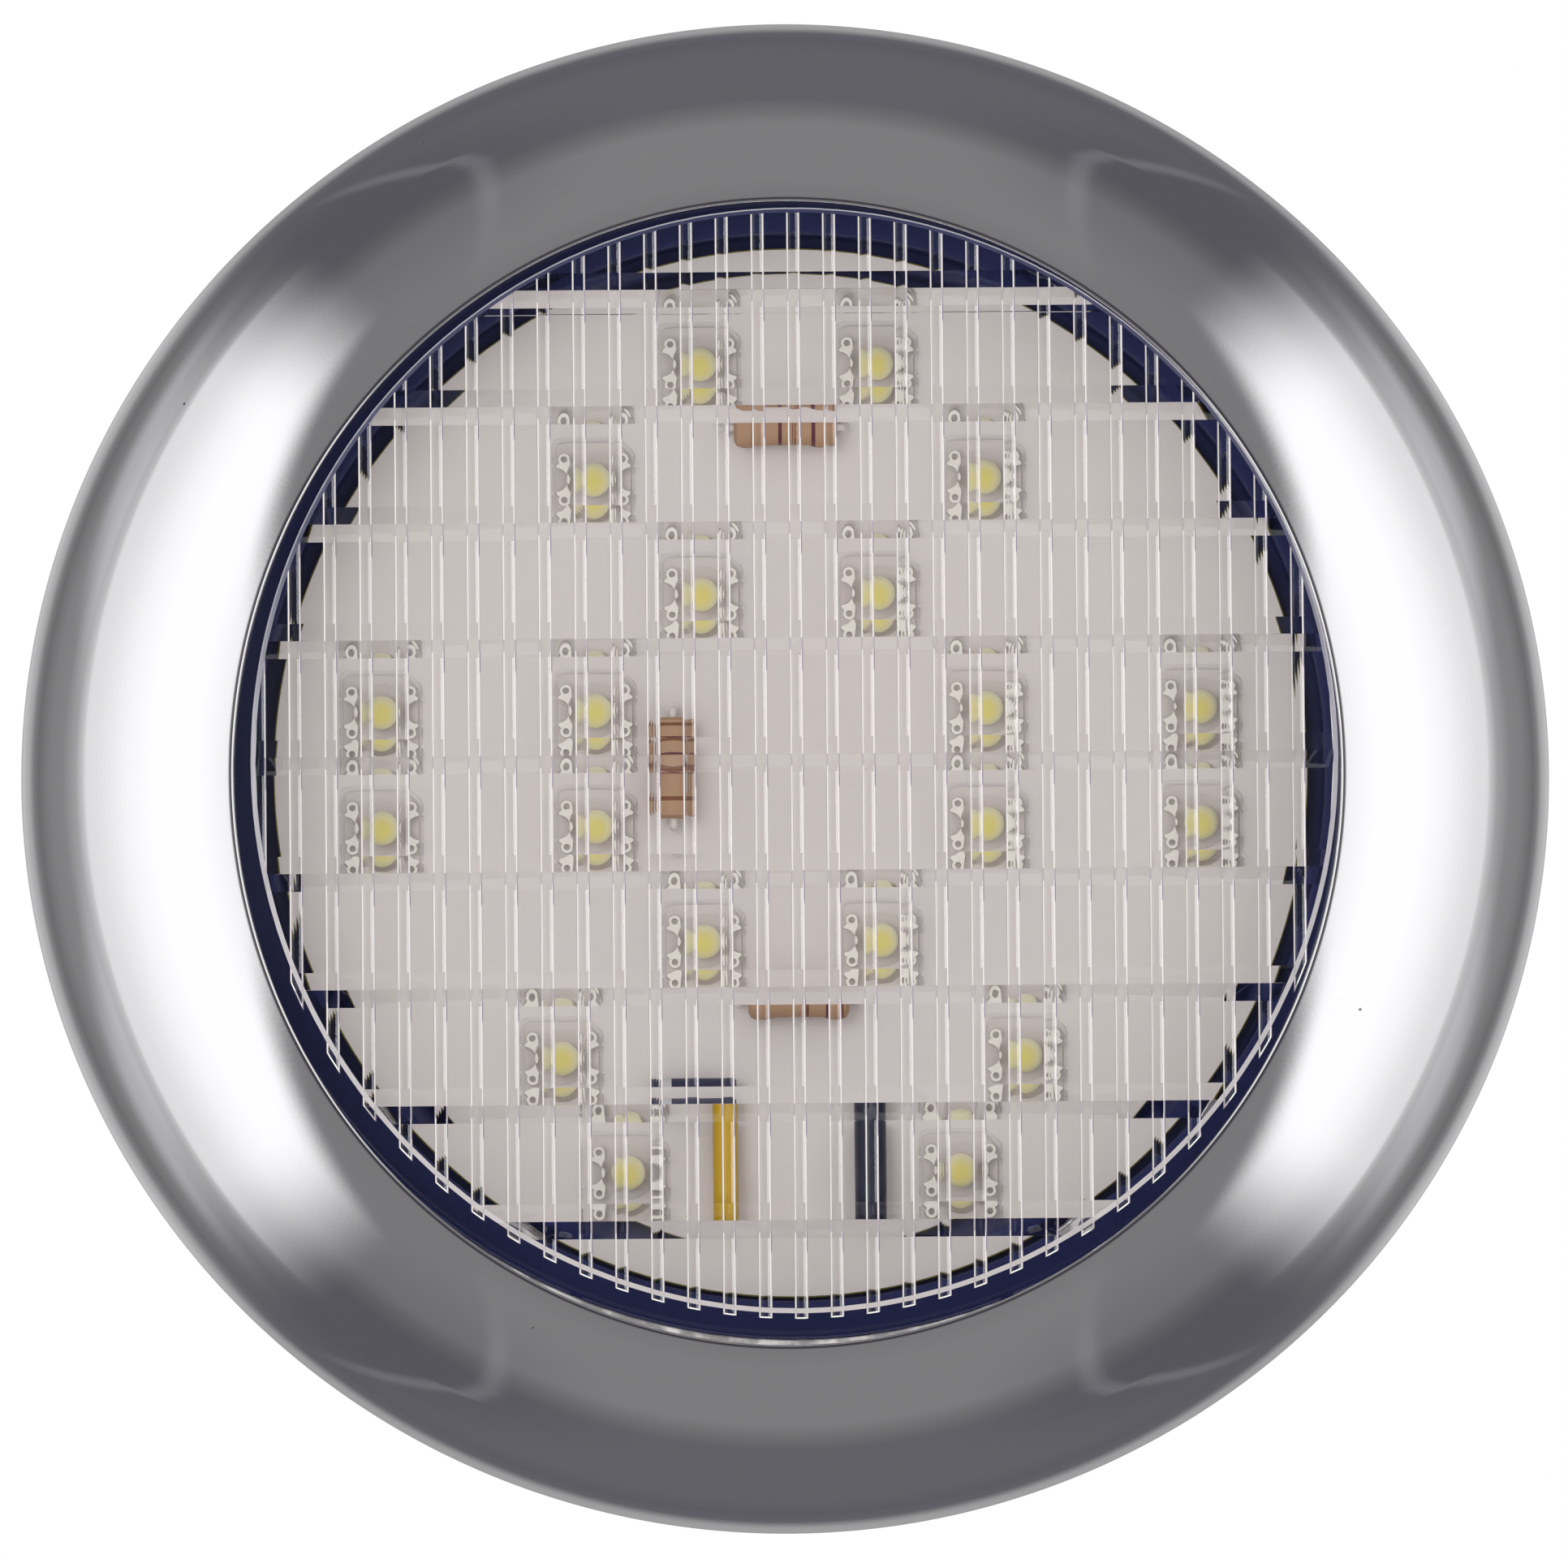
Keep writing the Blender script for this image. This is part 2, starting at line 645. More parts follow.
def oval(point):
    """Spreads the ring's section between an opening taller than wide and an edge wider than tall."""
    x, y, z = point
    radius = math.hypot(x, z)
    across, up = x / radius, z / radius
    inner = 1 / math.hypot(across / OPENING_WIDTH, up / OPENING_HEIGHT)
    outer = 1 / math.hypot(across / RING_RADIUS, up / RING_HEIGHT)
    share = (radius - RING["opening"]) / (RING["radius"] - RING["opening"])
    new = inner + (outer - inner) * share
    return across * new, y, up * new


def friction_rib(angle):
    """A small rib inside the ring's skirt that grips the grommet's flange."""
    section = [(64.7, -0.6), (64.7, -5.4), (66.6, -5.4), (67.9, -3.0), (68.8, -0.6)]
    half = 0.8
    loops = []
    for side in (-half, -half + 0.2, half - 0.2, half):
        inset = 0.2 if abs(side) == half else 0.0
        loops.append([(max(r, 64.7 + inset), side, y) for r, y in section])
    points, faces = loft(loops)
    turn = Matrix.Rotation(angle, 3, "Y")
    return [tuple(turn @ Vector((r, y, side))) for r, side, y in points], faces


def trim_ring():
    ribs = [friction_rib(2 * math.pi * (i + 0.5) / 8) for i in range(8)]
    points, faces = merge(revolve(ring_outline(), 384), *ribs)
    ring = build("chrome_ring", [oval(p) for p in points], faces, RING_AXIS, 60, [CHROME])
    ready(ring, "trim", "satin_chrome", "trim_ring")


trim_ring()

# ---- lens ----

def flute_profile():
    """Breaks across the lens as (x, height, kind of the stretch to the next break)."""
    end = CAVITY * CAVITY_OVAL
    breaks = [(-end, 0.0, "gap")]
    half, inner = FLUTE["half"], FLUTE["half"] - FLUTE["side"]
    crest = FLUTE["height"] + FLUTE["crown"]
    shoulder = FLUTE["height"] + 0.75 * FLUTE["crown"]
    for i in range(-FLUTE["each_way"], FLUTE["each_way"] + 1):
        x = i * FLUTE["pitch"] + FLUTE["shift"]
        if abs(x) + half > end:
            continue
        breaks.append((x - half, 0.0, "side"))
        breaks.append((x - inner, FLUTE["height"], "flute"))
        breaks.append((x - inner / 2, shoulder, "flute"))
        breaks.append((x, crest, "flute"))
        breaks.append((x + inner / 2, shoulder, "flute"))
        breaks.append((x + inner, FLUTE["height"], "side"))
        breaks.append((x + half, 0.0, "gap"))
    breaks.append((end, 0.0, "gap"))
    return breaks


def columns():
    """The same breaks with more added so that the round wall is smooth: (x0, x1, height0, height1, kind)."""
    profile = flute_profile()
    steps = 72
    extra = [CAVITY * CAVITY_OVAL * math.cos(math.pi * i / steps) for i in range(1, steps)]
    extra += [(CAVITY - RIM_BAND) * CAVITY_OVAL * side for side in (-1, 1)]
    out = []
    for (x0, h0, kind), (x1, h1, _) in zip(profile, profile[1:]):
        inside = sorted(x for x in extra if x0 + 0.04 < x < x1 - 0.04)
        marks = [x0, *inside, x1]
        for a, b in zip(marks, marks[1:]):
            ha = h0 + (h1 - h0) * (a - x0) / (x1 - x0)
            hb = h0 + (h1 - h0) * (b - x0) / (x1 - x0)
            out.append((a, b, ha, hb, kind))
    return out


def band_profile():
    """Breaks up the lens as (z, depth of the inner face relative to the plate)."""
    breaks = []
    for i in range(-6, 6):
        foot = i * BAND["pitch"] + BAND["shift"]
        top = foot + BAND["pitch"]
        breaks.append((foot + 0.03, -BAND["lower_fall"]))
        breaks.append((foot + BAND["lower"], 0.0))
        if foot < MOULD_LINE["z"] < top:
            line, half = MOULD_LINE["z"], MOULD_LINE["half"]
            breaks += [(line - half, 0.0), (line, -MOULD_LINE["depth"]), (line + half, 0.0)]
        breaks.append((top - BAND["upper"], 0.0))
        breaks.append((top, -BAND["upper_fall"]))
    return breaks


def clip(polygon, a, b, c):
    """The part of a convex polygon where a*x + b*z <= c."""
    out = []
    for i, p in enumerate(polygon):
        q = polygon[(i + 1) % len(polygon)]
        dp = a * p[0] + b * p[1] - c
        dq = a * q[0] + b * q[1] - c
        if dp <= 1e-9:
            out.append(p)
        if (dp < -1e-9 and dq > 1e-9) or (dp > 1e-9 and dq < -1e-9):
            t = dp / (dp - dq)
            out.append((p[0] + (q[0] - p[0]) * t, p[1] + (q[1] - p[1]) * t))
    return out


def oval_distance(x, z):
    """Distance from the inner wall's own axis, on a scale where the oval wall is at CAVITY all round."""
    return math.hypot(x / CAVITY_OVAL, z)


def oval_height(radius, x):
    """How far above that axis an oval of this size is, at x."""
    return math.sqrt(max(0.0, radius * radius - (x / CAVITY_OVAL) ** 2))


def zone_cell(column, band, low, high, sign):
    """The part of one column and band, in the upper or lower half, between two ovals."""
    x0, x1 = column
    z0, z1 = band
    cell = clip([(x0, z0), (x1, z0), (x1, z1), (x0, z1)], 0, -sign, 0)
    for radius, side in ((low, -1), (high, 1)):
        if not cell or radius == 0:
            continue
        a, b = oval_height(radius, x0), oval_height(radius, x1)
        slope = (b - a) / (x1 - x0)
        cell = clip(cell, -slope * side, sign * side, (a - slope * x0) * side)
    return cell


def area(polygon):
    total = 0.0
    for i, (px, pz) in enumerate(polygon):
        qx, qz = polygon[(i + 1) % len(polygon)]
        total += px * qz - qx * pz
    return abs(total) / 2


def lens_cells():
    """Faces of the lens's fluted, banded inner side: (corner list of (x, z), depth list, material index)."""
    bands = band_profile()
    cells = []
    for x0, x1, h0, h1, kind in columns():
        plain = [(0.0, CAVITY - RIM_BAND), (CAVITY - RIM_BAND, CAVITY)]
        with_nub = [*plain, (CAVITY, CAVITY + NUB - NUB_CAP), (CAVITY + NUB - NUB_CAP, CAVITY + NUB)]
        lower = with_nub if kind != "gap" and abs(x0) < LAST_NUB else plain
        for (z0, y0), (z1, y1) in zip(bands, bands[1:]):
            for sign, zones in ((-1, lower), (1, plain)):
                for zone, (low, high) in enumerate(zones):
                    cell = zone_cell((x0, x1), (z0, z1), low, high, sign)
                    if len(cell) < 3 or area(cell) < 1e-7:
                        continue
                    heights = []
                    for x, z in cell:
                        flute = h0 + (h1 - h0) * (x - x0) / (x1 - x0)
                        band = y0 + (y1 - y0) * (z - z0) / (z1 - z0)
                        rim = min(1.0, max(0.0, (oval_distance(x, z) - CAVITY + RIM_BAND) / RIM_BAND))
                        heights.append(PLATE + flute + band + rim * RIM_RISE)
                    cells.append((cell, heights, 1 if kind == "side" or zone in (1, 3) else 0))
    return cells


def add_fluted_face(bm):
    corners = {}
    for polygon, heights, index in lens_cells():
        loop = []
        for (x, z), y in zip(polygon, heights):
            key = (round(x, 4), round(y, 4), round(z, 4))
            if key not in corners:
                corners[key] = bm.verts.new((x, y, z))
            if corners[key] not in loop:
                loop.append(corners[key])
        if len(loop) > 2 and not bm.faces.get(loop):
            bm.faces.new(loop).material_index = index


def boundary_loop(bm):
    """The vertices round an open sheet's edge, in order."""
    neighbours = {}
    for edge in bm.edges:
        if edge.is_boundary:
            a, b = edge.verts
            neighbours.setdefault(a, []).append(b)
            neighbours.setdefault(b, []).append(a)
    start = next(v for v in neighbours if oval_distance(v.co.x, v.co.z) < CAVITY + 0.01)
    loop = [start]
    previous, here = None, start
    while True:
        there = next(v for v in neighbours[here] if v is not previous)
        if there is start:
            return loop
        loop.append(there)
        previous, here = here, there


def add_wall(bm, loop, depth):
    """A straight wall from a closed loop of vertices to a given depth; returns the loop at its foot."""
    foot = [bm.verts.new((v.co.x, depth, v.co.z)) for v in loop]
    for i, v in enumerate(loop):
        j = (i + 1) % len(loop)
        bm.faces.new((v, loop[j], foot[j], foot[i]))
    return foot


def close_nubs(bm, loop):
    """Floors the pockets where flutes run on into the wall; returns the loop without them."""
    kept, run = [], []
    for v in [*loop, loop[0]]:
        if oval_distance(v.co.x, v.co.z) > CAVITY + 0.01:
            run.append(v)
            continue
        if run:
            bm.faces.new([kept[-1], *run, v])
            run = []
        kept.append(v)
    return kept[:-1]


def lens_outside():
    """Outline of the lens's outer face, from its middle to the seam with the housing."""
    edge_r = LENS_RADIUS - LENS_EDGE_ROUND
    steps = 40
    front = []
    for i in range(steps + 1):
        t = i / steps
        front.append((edge_r * t, LENS_FRONT + (LENS_RIM_DEPTH - LENS_FRONT) * t * t))
    edge = tilt_arc(edge_r, LENS_RIM_DEPTH + LENS_EDGE_ROUND, LENS_EDGE_ROUND, 4, 90, 30)
    shoulder = fillet((LENS_RADIUS, LENS_SHOULDER), (LENS_RADIUS, -7), (FLANGE, LENS_SHOULDER), 0.3)
    corner = fillet((FLANGE, LENS_SHOULDER), (LENS_RADIUS, LENS_SHOULDER), (FLANGE, SEAM), 0.2)
    return front + edge + shoulder + corner + [(FLANGE, SEAM)]


def lens():
    bm = bmesh.new()
    add_fluted_face(bm)
    loop = add_wall(bm, boundary_loop(bm), NUB_DEPTH)
    add_wall(bm, close_nubs(bm, loop), SEAM)
    for v in bm.verts:
        v.co += Vector((CAVITY_X, 0, CAVITY_Z))
    points, faces = revolve(lens_outside(), RIM_SIDES, closed=False)
    outside = [bm.verts.new(p) for p in points]
    for face in faces:
        bm.faces.new([outside[i] for i in face])
    tip = [v for v in outside if math.hypot(v.co.x, v.co.z) < 1e-6]
    bmesh.ops.remove_doubles(bm, verts=tip, dist=1e-5)
    seam = [e for e in bm.edges if e.is_boundary and all(abs(v.co.y - SEAM) < 1e-5 for v in e.verts)]
    bmesh.ops.triangle_fill(bm, edges=seam, use_beauty=True)
    for v in bm.verts:
        v.co = LAMP_AXIS + v.co * MM
    bmesh.ops.recalc_face_normals(bm, faces=bm.faces)
    mesh = bpy.data.meshes.new("clear_lens")
    bm.to_mesh(mesh)
    bm.free()
    mesh.shade_smooth()
    mesh.set_sharp_from_angle(angle=math.radians(3.2))
    piece = bpy.data.objects.new("clear_lens", mesh)
    bpy.context.scene.collection.objects.link(piece)
    mesh.materials.append(LENS_CLEAR)
    mesh.materials.append(LENS_EDGE)
    mesh.materials.append(LENS_FLANGE)
    for face in mesh.polygons:
        past_edge = math.hypot(face.center.x - LAMP_AXIS.x, face.center.z - LAMP_AXIS.z) > LENS_RADIUS * MM
        if past_edge and face.normal.y < -0.7:
            face.material_index = 2
    ready(piece, "lamp_unit", "clear_lens", "lens")


lens()

# ---- housing ----

HOUSING = {
    "radius": 50.6,
    "wall": 48.9,
    "ledge": 3.0,
    "cavity": 44.0,
    "floor": 17.5,
    "back": 20.0,
    "seat": -1.2,
}
PIN_HOLE = 2.6
EJECTOR = {"radius": 2.4, "depth": 0.25, "distance": 33}
SOCKET = {"width": 38.0, "height": 22.0, "corner": 5.0, "wall": 2.5}
KEY = {"width": 3.0, "height": 1.2}
PIN_X = (centre("pin_ground").x - centre("pin_power").x) / 2 / MM


def socket_loop(shrink, tighten, y):
    """The plug socket's outline at one depth, narrower by shrink and with its corners tightened."""
    s = SOCKET
    return rounded_rectangle(s["width"] - shrink, s["height"] - shrink, s["corner"] - tighten, y)


def housing():
    h = HOUSING
    outline = [
        (0.0, h["floor"]),
        (h["cavity"], h["floor"]),
        (h["cavity"], h["ledge"]),
        (h["wall"], h["ledge"]),
        (h["wall"], SEAM),
        (FLANGE, SEAM),
        (FLANGE, h["seat"]),
        (h["radius"], h["seat"]),
        (h["radius"], h["back"]),
        (h["radius"] - 3.0, h["back"]),
        (h["radius"] - 3.6, h["back"] - 0.5),
        (h["radius"] - 8.0, h["back"] - 0.5),
        (h["radius"] - 8.6, h["back"]),
        (0.0, h["back"]),
    ]
    cup = build("lamp_housing", *revolve(rounded(outline, 0.5, 4, closed=False), 192, closed=False),
                materials=[HOUSING_DARK, HOUSING_BLACK])
    s = SOCKET
    root = h["back"] - 1.0
    outer = [socket_loop(0, 0, y) for y in (root, HOUSING_MOUTH - 0.4)]
    outer.append(socket_loop(0.6, 0.3, HOUSING_MOUTH))
    boolean(cup, build("shroud", *loft(outer)), "UNION")
    trim = 2 * s["wall"]
    inner = [socket_loop(trim, s["wall"], y) for y in (h["back"], HOUSING_MOUTH - 0.5)]
    inner.append(socket_loop(trim - 0.8, s["wall"] - 0.5, HOUSING_MOUTH + 0.3))
    boolean(cup, build("pocket", *loft(inner)), "DIFFERENCE")
    top = s["height"] / 2 - s["wall"]
    key_ends = (h["back"] - 0.8, HOUSING_MOUTH - 0.6)
    key = [rounded_rectangle(KEY["width"], 2 * KEY["height"], 0.3, y, 3) for y in key_ends]
    boolean(cup, build("key", *moved(loft(key), z=top)), "UNION")
    for x in (-PIN_X, PIN_X):
        drill(cup, rod(PIN_HOLE, h["floor"] - 1, h["back"] + 1, 48), x=x)
    for angle in range(45, 360, 90):
        turn = math.radians(angle)
        mark = rod(EJECTOR["radius"], h["back"] - EJECTOR["depth"], h["back"] + 1, 40)
        drill(cup, mark, EJECTOR["distance"] * math.cos(turn), EJECTOR["distance"] * math.sin(turn))
    for face in cup.data.polygons:
        middle = (face.center - LAMP_AXIS) / MM
        inside = math.hypot(middle.x, middle.z) < h["wall"] + 0.6 and middle.y < h["floor"] + 0.6
        front = face.normal.y < -0.7 and middle.y < 0
        face.material_index = 0 if inside or front else 1
    ready(cup, "lamp_unit", "housing_plastic", "housing")


housing()

# ---- grommet ----

GROMMET_FRONT, GROMMET_TAIL = depths("grommet")
GROMMET = {
    "bore": 50.9,
    "recess": 55.05,
    "recess_depth": -1.2,
    "flange": half_width("grommet"),
    "groove": 56.9,
    "panel": 3.0,
    "bead": 59.3,
    "bead_depth": 5.0,
    "tail": 55.5,
}


def grommet():
    g = GROMMET
    outline = [
        (g["bore"], GROMMET_TAIL),
        (g["bore"], g["recess_depth"]),
        (g["recess"], g["recess_depth"]),
        (g["recess"], GROMMET_FRONT),
        (g["flange"], GROMMET_FRONT),
        (g["flange"], 0.0),
        (g["groove"], 0.0),
        (g["groove"], g["panel"]),
        (g["bead"], g["panel"]),
        (g["bead"], g["bead_depth"]),
        (g["tail"] + 1.2, GROMMET_TAIL - 1.4),
        (g["tail"], GROMMET_TAIL),
    ]
    ring = build("rubber_grommet", *revolve(rounded(outline, 0.6), 256), materials=[RUBBER])
    ready(ring, "mounting_grommet", "black_rubber", "grommet")


grommet()

# ---- circuit board ----

LEAD_HOLE_Z = -41.2
LEADS = {"lead_power": (-6.3, 1.15), "lead_ground": (6.95, 1.45)}  # distance right of the axis, and radius
SEALANT_RADIUS = half_width("board_sealant")


def circuit_board():
    half_w, half_h = half_width("circuit_board"), half_height("circuit_board")
    outline = [
        (0.0, BOARD_FRONT),
        (half_h - 0.12, BOARD_FRONT),
        (half_h, BOARD_FRONT + 0.12),
        (half_h, BOARD_BACK - 0.12),
        (half_h - 0.12, BOARD_BACK),
        (0.0, BOARD_BACK),
    ]
    points, faces = revolve(outline, 192, closed=False)
    low = from_lamp_axis("circuit_board")[1]
    oval_points = [(x * half_w / half_h, y, z + low) for x, y, z in points]
    board = build("round_board", oval_points, faces, materials=[BOARD, BOARD_EDGE])
    for x, radius in LEADS.values():
        drill(board, rod(radius + 0.3, 0.0, 4.0, 32), x, LEAD_HOLE_Z)
    for face in board.data.polygons:
        face.material_index = 0 if abs(face.normal.y) > 0.9 else 1
    ready(board, "lamp_unit", "white_board", "circuit_board")

    ledge = HOUSING["ledge"]
    bead = [(44.5, ledge), (44.9, BOARD_BACK), (SEALANT_RADIUS, BOARD_BACK), (SEALANT_RADIUS, ledge)]
    ring = build("sealant_bead", *revolve(rounded(bead, 0.1), 160), materials=[SEALANT])
    ready(ring, "lamp_unit", "sealant", "board_sealant")


circuit_board()

# ---- emitters ----

LED = {"size": 7.6, "height": 3.4, "dome": 2.5, "dome_height": 1.5, "cut": 4.35}
LED_SIDES = 96
LED_COUNT = 20


def square_loop(size, depth, cut):
    """A rounded square with one corner cut off, sampled evenly in angle."""
    loop = []
    for i in range(LED_SIDES):
        angle = 2 * math.pi * i / LED_SIDES
        c, s = abs(math.cos(angle)), abs(math.sin(angle))
        reach = size / 2 / (c**12 + s**12) ** (1 / 12)
        toward = math.cos(angle - math.pi / 4)
        if toward > 0.3:
            reach = min(reach, cut / toward)
        loop.append((reach * math.cos(angle), depth, reach * math.sin(angle)))
    return loop


def circle_loop(radius, depth, count=LED_SIDES):
    return [
        (radius * math.cos(2 * math.pi * i / count), depth, radius * math.sin(2 * math.pi * i / count))
        for i in range(count)
    ]


def led_body():
    size, height, dome = LED["size"], LED["height"], LED["dome"]
    loops = [
        square_loop(size - 0.1, -0.02, LED["cut"]),
        square_loop(size, -0.3, LED["cut"]),
        square_loop(size, -height + 0.25, LED["cut"]),
        square_loop(size - 0.14, -height + 0.07, LED["cut"] - 0.07),
        square_loop(size - 0.5, -height, LED["cut"] - 0.25),
        circle_loop(dome + 0.2, -height),
        circle_loop(dome, -height - 0.06),
    ]
    steps = 12
    for i in range(1, steps):
        t = math.radians(90 * i / steps)
        rise = 0.06 + (LED["dome_height"] - 0.06) * math.sin(t)
        loops.append(circle_loop(dome * math.cos(t), -height - rise))
    loops.append(circle_loop(0.05, -height - LED["dome_height"]))
    return loft(loops)


def arc(x, z, radius, start, end, steps):
    """Points (x, z) on an arc; angles in degrees."""
    points = []
    for i in range(steps + 1):
        angle = math.radians(start + (end - start) * i / steps)
        points.append((x + radius * math.cos(angle), z + radius * math.sin(angle)))
    return points


def lead_frame_arm(side, grow=0.0, front=-1.5, back=-1.3):
    """One arm of the lead frame: an eye at each end, two pointed teeth and a round bite between them."""
    eye_x, eye_z, eye, hole = 2.65, 1.85, 0.55 + grow, 0.29 - grow
    tooth_x, tooth_z, bite = 3.4 + grow, 1.28, 1.08 - grow
    tooth = [(eye_x + 0.42, eye_z - 0.28 + grow), (tooth_x, tooth_z + grow)]
    upper = arc(eye_x, eye_z, eye, 150, 0, 12) + tooth
    middle = arc(3.38, 0.0, bite, 95, 265, 20)
    lower = [(x, -z) for x, z in reversed(upper)]
    waist = [(2.05 - grow, -1.2), (1.85 - grow, 0.0), (2.05 - grow, 1.2)]
    outline = [(x * side, z) for x, z in upper + middle + lower + waist]
    eyes = [arc(eye_x * side, z, hole, 0, 345, 23) for z in (eye_z, -eye_z)]
    return pierced_plate([outline, *eyes], front, back)


def led_floor():
    """The moulded back of the emitter, seen through its clear body."""
    size, cut = LED["size"] - 0.9, LED["cut"] - 0.5
    return loft([square_loop(size, y, cut) for y in (-0.4, -0.15)])


def pierced_plate(loops, front, back):
    """A flat plate between two depths; the first loop is its edge and the others are holes."""
    bm = bmesh.new()
    rims = {front: [], back: []}
    for loop in loops:
        rows = {y: [bm.verts.new((x, y, z)) for x, z in loop] for y in rims}
        for y, row in rows.items():
            rims[y] += [bm.edges.new((v, row[(i + 1) % len(row)])) for i, v in enumerate(row)]
        near, far = rows[front], rows[back]
        for i in range(len(loop)):
            j = (i + 1) % len(loop)
            bm.faces.new((near[i], near[j], far[j], far[i]))
    for edges in rims.values():
        bmesh.ops.triangle_fill(bm, edges=edges, use_beauty=True)
    bm.verts.index_update()
    points = [tuple(v.co) for v in bm.verts]
    faces = [tuple(v.index for v in face.verts) for face in bm.faces]
    bm.free()
    return points, faces


def plain_mesh(points, faces):
    """A mesh in metres round its own origin, with normals facing out."""
    mesh = bpy.data.meshes.new("part")
    mesh.from_pydata([Vector(p) * MM for p in points], [], faces)
    bm = bmesh.new()
    bm.from_mesh(mesh)
    bmesh.ops.recalc_face_normals(bm, faces=bm.faces)
    bm.to_mesh(mesh)
    bm.free()
    return mesh


def phosphor_dot():
    loops = [circle_loop(PHOSPHOR_RADIUS, -1.48, 48), circle_loop(PHOSPHOR_RADIUS, -1.56, 48)]
    for angle in (25, 45, 62, 76, 86):
        t = math.radians(angle)
        loops.append(circle_loop(PHOSPHOR_RADIUS * math.cos(t), -1.56 - 0.3 * math.sin(t), 48))
    return loft(loops)


def emitter_mesh():
    """Body, lead frame and phosphor of one emitter, standing on the plane of depth 0."""
    parts = [(led_body(), LED_CLEAR), (led_floor(), LED_FLOOR), (phosphor_dot(), PHOSPHOR)]
    for side in (-1, 1):
        parts.append((lead_frame_arm(side), LEAD_FRAME))
        parts.append((lead_frame_arm(side, 0.06, -1.28, -1.2), LED_SHADE))
    mesh = plain_mesh(*merge(*(part for part, _ in parts)))
    marks = [index for index, ((_, faces), _) in enumerate(parts) for _ in faces]
    mesh.polygons.foreach_set("material_index", marks)
    for _, finish in parts:
        mesh.materials.append(finish)
    mesh.shade_smooth()
    mesh.set_sharp_from_angle(angle=math.radians(35))
    return mesh


def emitters():
    mesh = emitter_mesh()
    for number in range(1, LED_COUNT + 1):
        node = f"led_{number:02d}"
        x, z = from_lamp_axis(node)
        piece = bpy.data.objects.new(f"emitter_{number:02d}", mesh)
        bpy.context.scene.collection.objects.link(piece)
        piece.location = LAMP_AXIS + Vector((x, BOARD_FRONT, z)) * MM
        ready(piece, "lamp_unit", "led_clear", node)


emitters()

# ---- resistors and diode ----


def along_x(outline):
    """Turns an outline of (radius, x) about the X axis."""
    points, faces = revolve(outline, 48, closed=False)
    return [(y, x, z) for x, y, z in points], faces


def axial_part(name, node, outline, wire_radius, belly, materials, mark, slot, upright=False):
    """A part lying on the board with a bent wire at each end; mark(x) gives the material index there."""
    y = -0.3 - belly
    half = max(x for _, x in outline)
    reach = half + 0.75
    body = moved(along_x(outline), y=y)
    wires = []
    for side in (-1, 1):
        bend = [(half - 0.4, y), (half + 0.3, y), (reach - 0.05, y + 0.4), (reach, -0.02)]
        knots = [(side * along, depth, 0) for along, depth in bend]
        wires.append(loft(sweep(smooth_path(knots, 6), wire_radius, 12)))
        joint = [(0.0, -0.4), (0.35, -0.34), (0.6, -0.12), (0.7, -0.02), (0.0, -0.02)]
        wires.append(moved(revolve(joint, 24, closed=False), x=side * reach))
    points, faces = merge(body, *wires)
    if upright:
        points = [(-pz, py, px) for px, py, pz in points]
    x, z = from_lamp_axis(node)
    axis = LAMP_AXIS + Vector((x, BOARD_FRONT, z)) * MM
    piece = build(name, points, faces, axis, materials=materials)
    last = len(materials) - 1
    for face in piece.data.polygons:
        place = (face.center - axis) / MM
        along = place.z if upright else place.x
        away = place.x if upright else place.z
        lifted = math.hypot(away, place.y - y)
        inside = abs(along) < half and lifted > wire_radius + 0.1
        face.material_index = mark(along) if inside else last
    ready(piece, "lamp_unit", slot, node)


def resistors():
    outline = [
        (0.0, -4.65),
        (1.2, -4.6),
        (1.65, -4.35),
        (1.84, -3.8),
        (1.84, -3.1),
        (1.72, -2.5),
        (1.6, -2.1),
    ]
    bands = [(-2.85, 0.2, 2), (-0.4, 0.17, 1), (0.75, 0.17, 2), (2.65, 0.18, 1), (3.95, 0.15, 2)]
    cuts = sorted(x for middle, half, _ in bands for x in (middle - half, middle + half))

    def radius_at(x):
        pairs = outline + [(r, -px) for r, px in reversed(outline)]
        for (r0, a), (r1, b) in zip(pairs, pairs[1:]):
            if a <= x <= b:
                return r0 + (r1 - r0) * (x - a) / (b - a) if b > a else r0
        return 0.0

    marks = sorted({*cuts, *(x for _, x in outline), *(-x for _, x in outline)})
    fine = [(radius_at(x), x) for x in marks]

    def mark(x):
        for middle, half, index in bands:
            if abs(x - middle) < half:
                return index
        return 0

    materials = [TAN, MAROON, BROWN, SOLDER]
    for name, upright in (("resistor_top", False), ("resistor_left", True), ("resistor_bottom", False)):
        axial_part(f"{name}_body", name, fine, 0.35, 1.85, materials, mark, "resistor_tan", upright)


def diode():
    band = (-3.2, -2.2)
    head = [(0.0, -3.75), (1.3, -3.73), (1.48, -3.55)]
    tail = [(1.5, 3.5), (1.35, 3.72), (0.0, 3.75)]
    outline = [*head, *((1.5, x) for x in band), *tail]

    def mark(x):
        return 1 if band[0] < x < band[1] else 0

    materials = [DIODE_BLACK, DIODE_BAND, SOLDER]
    axial_part("diode_body", "diode", outline, 0.4, 1.5, materials, mark, "diode_black")


resistors()
diode()

# ---- contact pins, and the leads behind the board ----


